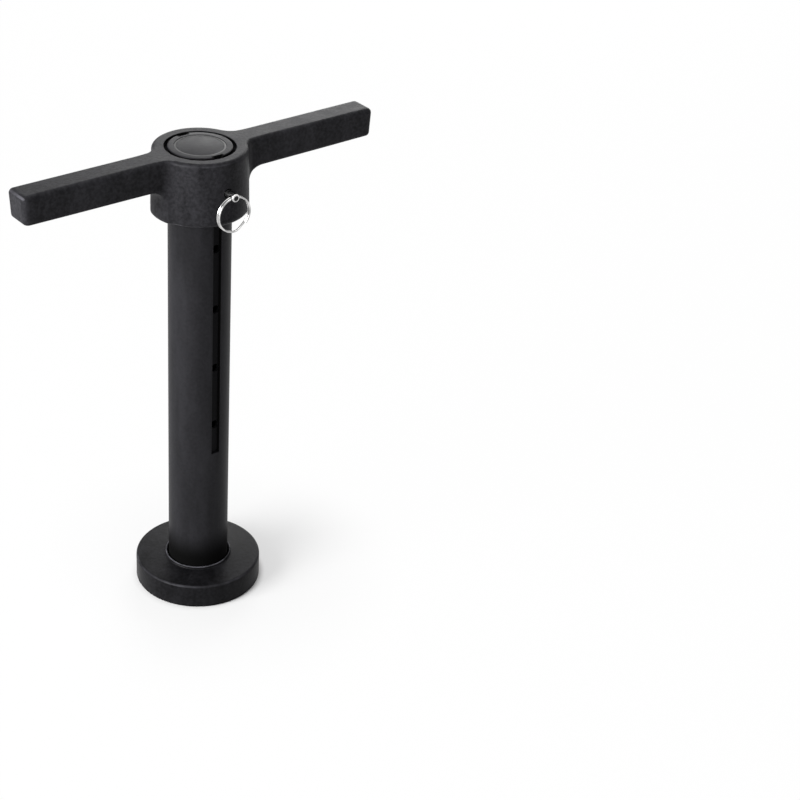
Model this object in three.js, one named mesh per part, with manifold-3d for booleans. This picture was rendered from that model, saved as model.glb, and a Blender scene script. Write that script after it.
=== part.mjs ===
// Kettlebell handle: a T-bar that slides on a grooved post, with a round base that carries weight plates.
// Millimetres, +Z up. The origin is on the post's axis, where the base stands on the floor.
// The arms run along X, and the locking pin points along Y, at the front (-Y).
import * as THREE from 'three';
import { mergeVertices } from 'three/addons/utils/BufferGeometryUtils.js';
import Module from 'manifold-3d';

const wasm = await Module();
wasm.setup();

// Clearances and cuts
const seatGap = 0.3; // between pieces that are bolted, pressed or bonded together
const cutOverrun = 4; // how far a cutting tool runs past the face it starts from
const edgeBreak = 0.6; // small chamfer on machined edges

// Post: a steel tube that passes through the bore of a two-inch weight plate
const postTop = 381;
const postRadius = 23.8;
const postWall = 4.75;
const postTopChamfer = 1.2;

// Grooves down the front and back of the post, and the row of index holes in the front one
const grooveWidth = 7.2;
const grooveDepth = 2.5;
const grooveEndBelowLastHole = 25.5;
const holeRadius = 3.45;
const holePitch = 50.8;
const holeCount = 5;

// Base
const baseRadius = 50.2;
const baseTop = 20.4;
const baseBottom = 0.4;
const baseTopRound = 2;
const baseBottomRound = 1;
const socketFloor = 11.6;
const socketGap = 0.4;
const lipRadius = 25.8; // middle of the raised lip round the foot of the post
const lipThickness = 1.4;
const lipHeight = 2.2;
const lipTrenchDepth = 2.4;
const lipFoot = 1.6;

// Rubber pad let into the underside of the base
const padOuterRadius = 44;
const padInnerRadius = 17;
const padRecess = 2;

// Bolt that holds the post down on the base, with its washer and the plug it screws into
const boltRadius = 6;
const boltHeadRadius = 9;
const boltHeadHeight = 4.4;
const boltSocketRadius = 3.8;
const boltSocketDepth = 2.8;
const boltThreadLength = 24;
const washerRadius = 12;
const washerThickness = 1.6;
const boltPocketDepth = 7.2;
const footPlugLength = 22;

// Plug and blank disc that close the top of the post
const topPlugLength = 16;
const topPlugWall = 3;
const topPlugDrop = 0.5;
const discRecess = 1.3;
const discRimWidth = 0.9;
const discThickness = 0.9;
const discEdgeRound = 0.4;

// Hub of the handle
const hubRadius = 36.5; // at the foot of the hub
const hubDraft = 1.1; // how much narrower the hub is at its top
const hubHeight = 49.8;
const hubTopDrop = 0.3; // from the top of the post down to the top of the hub
const hubTopRound = 3;
const hubBottomRound = 2.8;
const hubBoreGap = 0.45;
const hubMouthRadius = 25.7; // relief round the post at the hub's top
const hubMouthDepth = 7;
const hubFootChamfer = 1;
const keyWidth = 6.4;
const keyFloorGap = 0.4;
const keyTopRecess = 0.5;
const keyFootRecess = 1.8;
const keyPocketRadius = 5;

// Arms of the handle
const armReach = 151.5; // from the post's axis to the end of an arm
const armRootHalfWidth = 11;
const armTipHalfWidth = 11.4;
const armRootHeight = 23.2;
const armTipHeight = 22.2;
const armEdgeRound = 3;
const armTipRound = 1;
const armTipDraft = 1.4; // how far the lower end of the tip stands back
const armSideFillet = 6;
const armUnderFillet = 13.5;

// Locking pin, through the hub's front wall at the top hole
const pinRadius = 3.175;
const pinBelowHubTop = 24;
const pinGuideGap = 0.45; // round the pin in the hub's wall, more than the ball stands out
const pinNoseGap = 0.2; // from the drawn-back nose to the floor of the groove
const pinNoseChamfer = 0.5;
const pinHeadStandOff = 9.5; // from the hub's surface to the end of the pin
const pinHeadRound = 0.9;
const pinEyeRadius = 2;
const pinEyeFromEnd = 2.9;

// Sprung ball in the pin's nose
const ballRadius = 0.9;
const ballFromNose = 1.7;
const ballStandOut = 0.37; // how far the spring pushes it out of the pin's side
const ballHoleGap = 0.3;
const springRadius = 0.7; // to the middle of the wire
const springWireRadius = 0.15;
const springTurns = 2;
const springLength = 1.9;

// Split ring through the pin's eye
const ringOuterRadius = 14.2;
const ringWireRadius = 0.75;
const ringTurnGap = 0.42;

// Fineness of round shapes
const fineSegments = 72;
const plainSegments = 36;
const holeSegments = 24;
const smallSegments = 16;
const roundSteps = 3;
const filletSteps = 6;
const tipSteps = 3;
const armStations = 5;
const ringStepsPerTurn = 30;
const ringWireSides = 8;
const springStepsPerTurn = 8;
const springWireSides = 5;

// Angles of the split ring's wire, in degrees, from its first end round to its last
const ringStartAngle = 318;
const ringFirstTurn = 312;
const ringCrank = 40;
const ringSecondTurn = 312;

// Sizes that follow from the ones above
const postBore = postRadius - postWall;
const grooveFloor = postRadius - grooveDepth;
const plugRadius = postBore - seatGap;
const hubTop = postTop - hubTopDrop;
const hubBottom = hubTop - hubHeight;
const hubBore = postRadius + hubBoreGap;
const hubTopRadius = hubRadius - hubDraft;
const pinHeight = hubTop - pinBelowHubTop;
const lastHoleHeight = pinHeight - (holeCount - 1) * holePitch;
const grooveEnd = lastHoleHeight - grooveEndBelowLastHole;
const postBottom = socketFloor + seatGap;
const discRadius = plugRadius - discRimWidth - seatGap;
const topPlugTop = postTop - topPlugDrop;
const pinNose = grooveFloor + pinNoseGap;
const pinEnd = hubRadius + pinHeadStandOff;
const pinEye = pinEnd - pinEyeFromEnd;
const ballPlace = pinNose + ballFromNose;
const ballCentre = pinRadius + ballStandOut - ballRadius;
const ballHoleRadius = ballRadius + ballHoleGap;
const springTop = ballCentre - ballRadius - seatGap;
const springBottom = springTop - springLength;
const ringRadius = ringOuterRadius - ringWireRadius;
const ringTurnPitch = 2 * ringWireRadius + ringTurnGap;

// Helpers: geometry to solid and back

const turned = (points, segments = fineSegments) => {
  const geometry = new THREE.LatheGeometry(points, segments);
  geometry.rotateX(Math.PI / 2);
  return solidOf(geometry);
};

function solidOf(source) {
  const geometry = source.clone();
  geometry.deleteAttribute('normal');
  geometry.deleteAttribute('uv');
  const merged = mergeVertices(geometry);
  const triangles = [];
  const index = merged.index.array;
  for (let i = 0; i < index.length; i += 3) {
    const [a, b, c] = [index[i], index[i + 1], index[i + 2]];
    if (a !== b && b !== c && c !== a) triangles.push(a, b, c);
  }
  const places = merged.attributes.position.array;
  if (signedVolume(places, triangles) < 0) triangles.reverse();
  return new wasm.Manifold(new wasm.Mesh({
    numProp: 3,
    vertProperties: new Float32Array(places),
    triVerts: new Uint32Array(triangles),
  }));
}

function signedVolume(places, triangles) {
  const at = (i) => new THREE.Vector3().fromArray(places, 3 * i);
  let sum = 0;
  for (let i = 0; i < triangles.length; i += 3) {
    const [a, b, c] = [at(triangles[i]), at(triangles[i + 1]), at(triangles[i + 2])];
    sum += a.dot(b.cross(c));
  }
  return sum;
}

function geometryOf(solid) {
  const mesh = solid.getMesh();
  const geometry = new THREE.BufferGeometry();
  geometry.setAttribute('position', new THREE.BufferAttribute(mesh.vertProperties, mesh.numProp));
  geometry.setIndex(new THREE.BufferAttribute(mesh.triVerts, 1));
  geometry.computeVertexNormals();
  return geometry;
}

// Helpers: profiles and cutting tools

const point = (radius, height) => new THREE.Vector2(radius, height);

// A quarter round from one angle to another, as profile points, angles in quarter turns
function roundCorner(centreRadius, centreHeight, size, fromQuarter, toQuarter) {
  const points = [];
  for (let i = 0; i <= roundSteps; i += 1) {
    const angle = (fromQuarter + (toQuarter - fromQuarter) * (i / roundSteps)) * (Math.PI / 2);
    points.push(point(centreRadius + size * Math.cos(angle), centreHeight + size * Math.sin(angle)));
  }
  return points;
}

function uprightRod(radius, bottom, top, segments = fineSegments) {
  const geometry = new THREE.CylinderGeometry(radius, radius, top - bottom, segments);
  geometry.rotateX(Math.PI / 2);
  geometry.translate(0, 0, (top + bottom) / 2);
  return solidOf(geometry);
}

// A rod that points to the front, from one distance in front of the axis to another
function frontRod(radius, near, far, height, segments = holeSegments) {
  const geometry = new THREE.CylinderGeometry(radius, radius, far - near, segments);
  geometry.translate(0, -(far + near) / 2, height);
  return solidOf(geometry);
}

function box(sizeX, sizeY, sizeZ, x, y, z) {
  const geometry = new THREE.BoxGeometry(sizeX, sizeY, sizeZ);
  geometry.translate(x, y, z);
  return solidOf(geometry);
}

// A round wire along a curve, closed at both ends
function wireAlong(curve, wireRadius, steps, sides) {
  const section = new THREE.Shape();
  for (let i = 0; i < sides; i += 1) {
    const angle = (i / sides) * 2 * Math.PI;
    const place = point(wireRadius * Math.cos(angle), wireRadius * Math.sin(angle));
    if (i === 0) section.moveTo(place.x, place.y);
    else section.lineTo(place.x, place.y);
  }
  section.closePath();
  return solidOf(new THREE.ExtrudeGeometry(section, { steps, extrudePath: curve, curveSegments: 1 }));
}

// Post

function makePostTube() {
  const profile = [
    point(postBore, postBottom),
    point(postRadius, postBottom),
    point(postRadius, postTop - postTopChamfer),
    point(postRadius - postTopChamfer, postTop),
    point(postBore + edgeBreak, postTop),
    point(postBore, postTop - edgeBreak),
    point(postBore, postBottom),
  ];
  let tube = turned(profile);
  const grooveHeight = postTop + cutOverrun - grooveEnd;
  const grooveReach = grooveDepth + cutOverrun;
  for (const side of [-1, 1]) {
    const grooveMiddle = side * (grooveFloor + grooveReach / 2);
    tube = tube.subtract(box(grooveWidth, grooveReach, grooveHeight, 0, grooveMiddle, grooveEnd + grooveHeight / 2));
  }
  for (let i = 0; i < holeCount; i += 1) {
    tube = tube.subtract(frontRod(holeRadius, 0, postRadius + cutOverrun, pinHeight - i * holePitch));
  }
  return tube;
}

// Base

function makeBaseDisc() {
  const lipInner = lipRadius - lipThickness / 2;
  const lipOuter = lipRadius + lipThickness / 2;
  const lipTop = baseTop + lipHeight;
  const socketRadius = postRadius + socketGap;
  const pocketTop = baseBottom + boltPocketDepth;
  const pocketRadius = washerRadius + seatGap;
  const padTop = baseBottom + padRecess;
  const profile = [
    point(boltRadius + seatGap, pocketTop),
    point(pocketRadius, pocketTop),
    point(pocketRadius, baseBottom),
    point(padInnerRadius - seatGap, baseBottom),
    point(padInnerRadius - seatGap, padTop),
    point(padOuterRadius + seatGap, padTop),
    point(padOuterRadius + seatGap, baseBottom),
    ...roundCorner(baseRadius - baseBottomRound, baseBottom + baseBottomRound, baseBottomRound, -1, 0),
    ...roundCorner(baseRadius - baseTopRound, baseTop - baseTopRound, baseTopRound, 0, 1),
    point(lipOuter + lipFoot, baseTop),
    point(lipOuter, baseTop + lipFoot),
    ...roundCorner(lipRadius, lipTop - lipThickness / 2, lipThickness / 2, 0, 2),
    point(lipInner, baseTop - lipTrenchDepth),
    point(socketRadius, baseTop - lipTrenchDepth),
    point(socketRadius, socketFloor),
    point(boltRadius + seatGap, socketFloor),
    point(boltRadius + seatGap, pocketTop),
  ];
  return turned(profile);
}

function makeBasePad() {
  const padTop = baseBottom + padRecess - seatGap;
  return turned([
    point(padInnerRadius, 0),
    point(padOuterRadius - edgeBreak, 0),
    point(padOuterRadius, edgeBreak),
    point(padOuterRadius, padTop),
    point(padInnerRadius, padTop),
    point(padInnerRadius, 0),
  ], plainSegments);
}

function makeBaseWasher() {
  const top = baseBottom + boltPocketDepth - seatGap;
  return turned([
    point(boltRadius + seatGap, top - washerThickness),
    point(washerRadius, top - washerThickness),
    point(washerRadius, top),
    point(boltRadius + seatGap, top),
    point(boltRadius + seatGap, top - washerThickness),
  ], plainSegments);
}

function makeBaseBolt() {
  const headTop = baseBottom + boltPocketDepth - seatGap - washerThickness - seatGap;
  const headBottom = headTop - boltHeadHeight;
  const bolt = turned([
    point(0, headBottom),
    point(boltHeadRadius - edgeBreak, headBottom),
    point(boltHeadRadius, headBottom + edgeBreak),
    point(boltHeadRadius, headTop),
    point(boltRadius, headTop),
    point(boltRadius, headTop + boltThreadLength - edgeBreak),
    point(boltRadius - edgeBreak, headTop + boltThreadLength),
    point(0, headTop + boltThreadLength),
  ], plainSegments);
  const hexSides = 6;
  const socketTop = headBottom + boltSocketDepth;
  return bolt.subtract(uprightRod(boltSocketRadius, headBottom - cutOverrun, socketTop, hexSides));
}

function makeFootPlug() {
  const top = postBottom + footPlugLength;
  return turned([
    point(boltRadius + seatGap, postBottom),
    point(plugRadius, postBottom),
    point(plugRadius, top - edgeBreak),
    point(plugRadius - edgeBreak, top),
    point(boltRadius + seatGap, top),
    point(boltRadius + seatGap, postBottom),
  ], plainSegments);
}

// Plug and disc at the top of the post

function makeTopPlug() {
  const bottom = topPlugTop - topPlugLength;
  const recessFloor = topPlugTop - discRecess;
  const recessRadius = discRadius + seatGap;
  return turned([
    point(0, recessFloor - topPlugWall),
    point(plugRadius - topPlugWall, recessFloor - topPlugWall),
    point(plugRadius - topPlugWall, bottom),
    point(plugRadius - edgeBreak, bottom),
    point(plugRadius, bottom + edgeBreak),
    point(plugRadius, topPlugTop - discEdgeRound),
    point(plugRadius - discEdgeRound, topPlugTop),
    point(recessRadius, topPlugTop),
    point(recessRadius, recessFloor),
    point(0, recessFloor),
  ]);
}

function makeTopDisc() {
  const bottom = topPlugTop - discRecess + seatGap;
  const top = bottom + discThickness;
  return turned([
    point(0, bottom),
    point(discRadius, bottom),
    ...roundCorner(discRadius - discEdgeRound, top - discEdgeRound, discEdgeRound, 0, 1),
    point(0, top),
  ]);
}

// Handle

function makeHubBlank() {
  return turned([
    point(0, hubBottom),
    ...roundCorner(hubRadius - hubBottomRound, hubBottom + hubBottomRound, hubBottomRound, -1, 0),
    ...roundCorner(hubTopRadius - hubTopRound, hubTop - hubTopRound, hubTopRound, 0, 1),
    point(0, hubTop),
  ]);
}

// Where an arm's side leaves the hub: the side runs into the hub's circle in one fillet
function sideFillet() {
  const centreY = armRootHalfWidth + armSideFillet;
  const centreX = Math.sqrt((hubTopRadius + armSideFillet) ** 2 - centreY ** 2);
  const startX = centreX * (hubTopRadius / (hubTopRadius + armSideFillet));
  return { centreX, centreY, startX };
}

// Half the arm's width and its depth below the hub's top, at a distance from the post's axis
function armSizesAt(x) {
  const side = sideFillet();
  const share = (x - side.centreX) / (armReach - side.centreX);
  let halfWidth = armRootHalfWidth + (armTipHalfWidth - armRootHalfWidth) * Math.max(share, 0);
  if (x < side.centreX) {
    const run = Math.min(side.centreX - x, armSideFillet);
    halfWidth = side.centreY - Math.sqrt(armSideFillet ** 2 - run ** 2);
  }
  const underX = hubRadius + armUnderFillet;
  let depth = armRootHeight + (armTipHeight - armRootHeight) * Math.max(share, 0);
  if (x < underX) {
    const run = Math.min(underX - x, armUnderFillet);
    depth += armUnderFillet - Math.sqrt(armUnderFillet ** 2 - run ** 2);
  }
  return { halfWidth, depth };
}

// Distances along the arm at which its section is drawn. Each section is drawn in by its inset, which rounds
// the tip and sinks the root into the hub.
function armStationList() {
  const { startX, centreX } = sideFillet();
  const list = [{ x: startX - edgeBreak, inset: 2 * edgeBreak }];
  for (let i = 0; i <= filletSteps; i += 1) {
    list.push({ x: startX + (hubRadius - startX) * (i / filletSteps), inset: 0 });
  }
  const underEnd = Math.max(hubRadius + armUnderFillet, centreX);
  for (let i = 1; i <= filletSteps; i += 1) {
    const share = (i / filletSteps) ** 2;
    list.push({ x: hubRadius + (underEnd - hubRadius) * share, inset: 0 });
  }
  const tipStart = armReach - armTipRound;
  for (let i = 1; i <= armStations; i += 1) {
    list.push({ x: underEnd + (tipStart - underEnd) * (i / armStations), inset: 0 });
  }
  for (let i = 1; i <= tipSteps; i += 1) {
    const angle = (i / tipSteps) * (Math.PI / 2);
    list.push({
      x: tipStart + armTipRound * Math.sin(angle),
      inset: armTipRound * (1 - Math.cos(angle)),
    });
  }
  return list;
}

// One rounded-rectangle section of the arm, as points round its outline
function armSection({ x, inset }) {
  const { halfWidth, depth } = armSizesAt(x);
  const round = Math.max(armEdgeRound - inset, edgeBreak);
  const half = halfWidth - inset;
  const top = hubTop - inset;
  const bottom = hubTop - depth + inset;
  const corners = [
    [half - round, top - round, 0],
    [-half + round, top - round, 1],
    [-half + round, bottom + round, 2],
    [half - round, bottom + round, 3],
  ];
  const along = (x - hubRadius) / (armReach - hubRadius);
  const points = [];
  for (const [y, z, quarter] of corners) {
    for (const corner of roundCorner(y, z, round, quarter, quarter + 1)) {
      const back = armTipDraft * Math.max(along, 0) * ((hubTop - corner.y) / depth);
      points.push(new THREE.Vector3(x - back, corner.x, corner.y));
    }
  }
  return points;
}

function makeArm() {
  const rings = armStationList().map(armSection);
  const places = rings.flat();
  const count = rings[0].length;
  const index = [];
  for (let ring = 0; ring + 1 < rings.length; ring += 1) {
    for (let i = 0; i < count; i += 1) {
      const a = ring * count + i;
      const b = ring * count + ((i + 1) % count);
      index.push(a, b, b + count, a, b + count, a + count);
    }
  }
  const last = (rings.length - 1) * count;
  for (let i = 1; i + 1 < count; i += 1) {
    index.push(0, i + 1, i, last, last + i, last + i + 1);
  }
  const geometry = new THREE.BufferGeometry().setFromPoints(places);
  geometry.setIndex(index);
  return solidOf(geometry);
}

function makeKey(side) {
  const keyTip = grooveFloor + keyFloorGap;
  const keyRoot = (hubBore + hubRadius) / 2;
  const [top, foot] = [hubTop - keyTopRecess, hubBottom + keyFootRecess];
  return box(keyWidth, keyRoot - keyTip, top - foot, 0, side * (keyTip + keyRoot) / 2, (top + foot) / 2);
}

function makeHandleCasting() {
  const arm = makeArm();
  const otherArm = arm.mirror([1, 0, 0]);
  const bore = turned([
    point(0, hubBottom - cutOverrun),
    point(hubBore + hubFootChamfer + cutOverrun, hubBottom - cutOverrun),
    point(hubBore, hubBottom + hubFootChamfer),
    point(hubBore, hubTop - hubMouthDepth),
    point(hubMouthRadius, hubTop - hubMouthDepth + hubMouthRadius - hubBore),
    point(hubMouthRadius, hubTop + cutOverrun),
    point(0, hubTop + cutOverrun),
  ]);
  let casting = makeHubBlank().add(arm).add(otherArm).subtract(bore);
  casting = casting.add(makeKey(-1)).add(makeKey(1));
  casting = casting.subtract(frontRod(keyPocketRadius, 0, hubBore, pinHeight));
  return casting.subtract(frontRod(pinRadius + pinGuideGap, 0, hubRadius + cutOverrun, pinHeight));
}

// Locking pin with its sprung ball

function makeLockPin() {
  const geometry = new THREE.LatheGeometry([
    point(0, pinNose),
    point(pinRadius - pinNoseChamfer, pinNose),
    point(pinRadius, pinNose + pinNoseChamfer),
    ...roundCorner(pinRadius - pinHeadRound, pinEnd - pinHeadRound, pinHeadRound, 0, 1),
    point(0, pinEnd),
  ], holeSegments);
  geometry.rotateX(Math.PI);
  geometry.translate(0, 0, pinHeight);
  const eye = new THREE.CylinderGeometry(pinEyeRadius, pinEyeRadius, 2 * (pinRadius + cutOverrun), smallSegments);
  eye.rotateZ(Math.PI / 2);
  eye.translate(0, -pinEye, pinHeight);
  const ballHoleBottom = pinHeight + springBottom - seatGap;
  const ballHoleTop = pinHeight + pinRadius + cutOverrun;
  const ballHole = uprightRod(ballHoleRadius, ballHoleBottom, ballHoleTop, smallSegments).translate([0, -ballPlace, 0]);
  return solidOf(geometry).subtract(solidOf(eye)).subtract(ballHole);
}

function makeDetentBall() {
  const geometry = new THREE.SphereGeometry(ballRadius, smallSegments, smallSegments / 2);
  geometry.translate(0, -ballPlace, pinHeight + ballCentre);
  return solidOf(geometry);
}

class SpringPath extends THREE.Curve {
  getPoint(share) {
    const angle = share * springTurns * 2 * Math.PI;
    const wireBottom = springBottom + springWireRadius;
    const wireRise = springLength - 2 * springWireRadius;
    return new THREE.Vector3(
      springRadius * Math.cos(angle),
      springRadius * Math.sin(angle) - ballPlace,
      pinHeight + wireBottom + wireRise * share,
    );
  }
}

function makeDetentSpring() {
  const path = new SpringPath();
  printLeastGap('detent_spring', path, springWireRadius, springTurns);
  return wireAlong(path, springWireRadius, springTurns * springStepsPerTurn, springWireSides);
}

// Split ring: the wire goes nearly twice round, and steps over to its second turn at a crank

class RingPath extends THREE.Curve {
  getPoint(share) {
    const swept = share * (ringFirstTurn + ringCrank + ringSecondTurn);
    const crossed = THREE.MathUtils.smoothstep(swept, ringFirstTurn, ringFirstTurn + ringCrank);
    const angle = THREE.MathUtils.degToRad(ringStartAngle + swept);
    return new THREE.Vector3(
      ringRadius * Math.cos(angle),
      -pinEye + (crossed - 1 / 2) * ringTurnPitch,
      pinHeight - ringRadius + ringRadius * Math.sin(angle),
    );
  }
}

function makePullRing() {
  const path = new RingPath();
  const turns = (ringFirstTurn + ringCrank + ringSecondTurn) / 360;
  printLeastGap('pull_ring', path, ringWireRadius, turns);
  return wireAlong(path, ringWireRadius, Math.round(turns * ringStepsPerTurn), ringWireSides);
}

// Least distance between the wire's surface in one turn and the next, measured on points of its path
function printLeastGap(name, path, wireRadius, turns) {
  const samplesPerTurn = 60;
  const points = path.getPoints(Math.round(turns * samplesPerTurn));
  let least = Infinity;
  for (let i = 0; i < points.length; i += 1) {
    for (let j = i + samplesPerTurn / 2; j < points.length; j += 1) {
      least = Math.min(least, points[i].distanceTo(points[j]) - 2 * wireRadius);
    }
  }
  console.log(`${name}: least gap to itself ${least.toFixed(2)} mm`);
}

// Finishes

const coat = { color: 0x2b2b2d, roughness: 0.5, metalness: 0 };
const baseCoat = { color: 0x29292b, roughness: 0.65, metalness: 0 };
const disc = { color: 0x39393c, roughness: 0.45, metalness: 0 };
const rubber = { color: 0x161617, roughness: 0.9, metalness: 0 };
const zinc = { color: 0x9a9b9d, roughness: 0.4, metalness: 1 };
const chrome = { color: 0xd9dadb, roughness: 0.12, metalness: 1 };

// Assembly

function piece(name, solid, finish) {
  const mesh = new THREE.Mesh(geometryOf(solid), new THREE.MeshStandardMaterial(finish));
  mesh.name = name;
  return mesh;
}

const post = new THREE.Group();
post.add(
  piece('post_tube', makePostTube(), coat),
  piece('base_disc', makeBaseDisc(), baseCoat),
  piece('base_pad', makeBasePad(), rubber),
  piece('base_washer', makeBaseWasher(), zinc),
  piece('base_bolt', makeBaseBolt(), zinc),
  piece('foot_plug', makeFootPlug(), zinc),
  piece('top_plug', makeTopPlug(), disc),
  piece('top_disc', makeTopDisc(), disc),
);

const handle = new THREE.Group();
handle.add(piece('handle_casting', makeHandleCasting(), coat));

const lockPin = new THREE.Group();
lockPin.add(
  piece('lock_pin', makeLockPin(), chrome),
  piece('detent_spring', makeDetentSpring(), zinc),
  piece('detent_ball', makeDetentBall(), chrome),
  piece('pull_ring', makePullRing(), chrome),
);

const kettlebellHandle = new THREE.Group();
kettlebellHandle.add(post, handle, lockPin);

export default kettlebellHandle;
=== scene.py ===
# %% [markdown]
# A T-bar handle for weight plates: a cast bar slides on a grooved post, a ring pin locks it, and a round
# base carries the plates. The imported CAD model is the fixed frame. Each piece below is made in its place,
# in metres, and rides on one of the model's bodies, so loading that model comes first. The finished pieces
# have to stay inside it.

# %% Load the frame
import math

import bmesh
import bpy
from mathutils import Euler, Matrix, Vector


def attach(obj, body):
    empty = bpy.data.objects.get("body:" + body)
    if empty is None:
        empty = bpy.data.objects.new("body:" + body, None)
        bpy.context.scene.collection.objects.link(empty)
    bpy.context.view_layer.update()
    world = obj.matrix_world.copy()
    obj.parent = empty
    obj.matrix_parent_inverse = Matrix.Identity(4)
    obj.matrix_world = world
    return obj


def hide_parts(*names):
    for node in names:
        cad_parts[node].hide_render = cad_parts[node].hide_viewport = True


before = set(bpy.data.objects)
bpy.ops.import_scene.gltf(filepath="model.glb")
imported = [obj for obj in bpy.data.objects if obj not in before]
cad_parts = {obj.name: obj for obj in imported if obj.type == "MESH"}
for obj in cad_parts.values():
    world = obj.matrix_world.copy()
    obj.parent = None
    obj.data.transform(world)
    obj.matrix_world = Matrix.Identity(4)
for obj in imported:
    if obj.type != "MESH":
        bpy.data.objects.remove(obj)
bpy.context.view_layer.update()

scene = bpy.context.scene
MM = 0.001

# %% [markdown]
# The camera stands to the left of the handle's front and looks down at it by about thirty degrees. Its
# place, turn and lens were fitted to the outlines of the real object, so that each edge falls where it
# should. Euler angles are enough for a camera that never moves. The lens is long, which keeps the post's
# two sides almost parallel.

# %% Set up the camera
CAMERA_PLACE = (-0.72790, -1.06597, 0.94673)
CAMERA_TURN_DEGREES = (58.9584, -3.3618, -39.3021)
CAMERA_LENS = 86.22
SENSOR_WIDTH = 36.0

camera_data = bpy.data.cameras.new("camera")
camera_data.sensor_width = SENSOR_WIDTH
camera_data.lens = CAMERA_LENS
camera = bpy.data.objects.new("camera", camera_data)
camera.location = CAMERA_PLACE
camera.rotation_euler = [math.radians(angle) for angle in CAMERA_TURN_DEGREES]
scene.collection.objects.link(camera)
scene.camera = camera
scene.view_settings.view_transform = "Standard"
print("camera to post:", round(Vector(CAMERA_PLACE).length, 3), "m")

# %% [markdown]
# Node trees hold the arithmetic of the casting's shape, of the wound wires and of the finishes. Written
# node by node that arithmetic is long and hard to read. A small class stands for one value in a tree and
# knows the ordinary operators, so the script can write formulas. Each operator adds one Math node and links
# it.

# %% A value in a node tree, with the operators of arithmetic
class Value:
    """One value in a node tree. Each of its operators adds a Math node to that tree."""

    def __init__(self, tree, socket):
        self.tree = tree
        self.socket = socket

    def math(self, operation, *others):
        return compute(self.tree, operation, self, *others)

    def __add__(self, other):
        return self.math("ADD", other)

    def __sub__(self, other):
        return self.math("SUBTRACT", other)

    def __rsub__(self, other):
        return compute(self.tree, "SUBTRACT", other, self)

    def __mul__(self, other):
        return self.math("MULTIPLY", other)

    def __truediv__(self, other):
        return self.math("DIVIDE", other)

    def __rtruediv__(self, other):
        return compute(self.tree, "DIVIDE", other, self)

    def __neg__(self):
        return self.math("MULTIPLY", -1.0)

    def least(self, other):
        return self.math("MINIMUM", other)

    def most(self, other):
        return self.math("MAXIMUM", other)

    def above(self, other):
        return self.math("GREATER_THAN", other)

    def below(self, other):
        return self.math("LESS_THAN", other)

    def size(self):
        return self.math("ABSOLUTE")

    def hypotenuse(self, other):
        return (self * self + other * other).math("SQRT")


def compute(tree, operation, *values):
    """Adds one Math node and feeds it with values or plain numbers."""
    node = tree.nodes.new("ShaderNodeMath")
    node.operation = operation
    for slot, value in zip(node.inputs, values):
        feed(tree, slot, value)
    return Value(tree, node.outputs[0])


def feed(tree, slot, value):
    """Links a value or socket to an input, or sets the input's own number."""
    if isinstance(value, Value):
        tree.links.new(value.socket, slot)
    elif isinstance(value, bpy.types.NodeSocket):
        tree.links.new(value, slot)
    else:
        slot.default_value = value


# %% Add nodes and group sockets by name
def add_node(tree, kind, inputs=None, **settings):
    """Adds a node, sets its properties, then feeds its inputs, named or numbered."""
    node = tree.nodes.new(kind)
    for name, setting in settings.items():
        setattr(node, name, setting)
    for name, value in (inputs or {}).items():
        feed(tree, node.inputs[name], value)
    return node


def start_tree(name, kind, inputs, outputs):
    """A node group with named sockets. Returns it, its inputs as values by name, and its output node.

    An input is given by its first number, or by a pair of its kind of socket and what that holds at first.
    """
    tree = bpy.data.node_groups.new(name, kind)
    for label, given in inputs.items():
        socket, default = given if isinstance(given, tuple) else ("Float", given)
        made = tree.interface.new_socket(name=label, in_out="INPUT", socket_type="NodeSocket" + socket)
        if default is not None:
            made.default_value = default
    for label, socket in outputs.items():
        tree.interface.new_socket(name=label, in_out="OUTPUT", socket_type="NodeSocket" + socket)
    entry = tree.nodes.new("NodeGroupInput")
    values = {label: Value(tree, entry.outputs[label]) for label in inputs}
    print("node group:", name, list(inputs))
    return tree, values, tree.nodes.new("NodeGroupOutput")


def apart(tree, vector):
    """The three parts of a vector, as values."""
    node = add_node(tree, "ShaderNodeSeparateXYZ", {0: vector})
    return [Value(tree, output) for output in node.outputs]


def together(tree, x, y, z):
    return add_node(tree, "ShaderNodeCombineXYZ", {0: x, 1: y, 2: z}).outputs[0]


def eased(tree, value, start, end):
    """Goes smoothly from 0 to 1 while the value goes from start to end."""
    inputs = {"Value": value, "From Min": start, "From Max": end}
    node = add_node(tree, "ShaderNodeMapRange", inputs, interpolation_type="SMOOTHSTEP")
    return Value(tree, node.outputs["Result"])


def fading(tree, value, start, end):
    """Goes smoothly from 1 to 0 while the value goes from start to end."""
    return 1.0 - eased(tree, value, start, end)


# %% [markdown]
# The finishes come next, because the pieces name them. Almost the whole object is powder coated black. Such
# a coat is never flat: it dries with a fine orange peel, it holds a few coarser specks, and hands leave
# duller patches on it. These effects are shared by several finishes, so each is a node group that only puts
# out heights and masks. All of them read Object coordinates, where one unit is a metre, so their scales are
# real sizes.

# %% Helpers: the place of a point, noise of a real size, and a group of masks
def texture_place(tree):
    return tree.nodes.new("ShaderNodeTexCoord").outputs["Object"]


def noise(tree, place, size=1.0, detail=2.0, roughness=0.5):
    """Noise from 0 to 1 with lumps of about that size."""
    inputs = {"Vector": place, "Scale": 1.0 / size, "Detail": detail, "Roughness": roughness}
    return Value(tree, add_node(tree, "ShaderNodeTexNoise", inputs).outputs["Fac"])


def start_masks(name, inputs, *outputs):
    return start_tree(name, "ShaderNodeTree", inputs, dict.fromkeys(outputs, "Float"))


# %% Node group: the fine grain of a sprayed coat
PEEL_DETAIL = 1.0
SPECK_RANGE = (0.62, 0.78)


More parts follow.
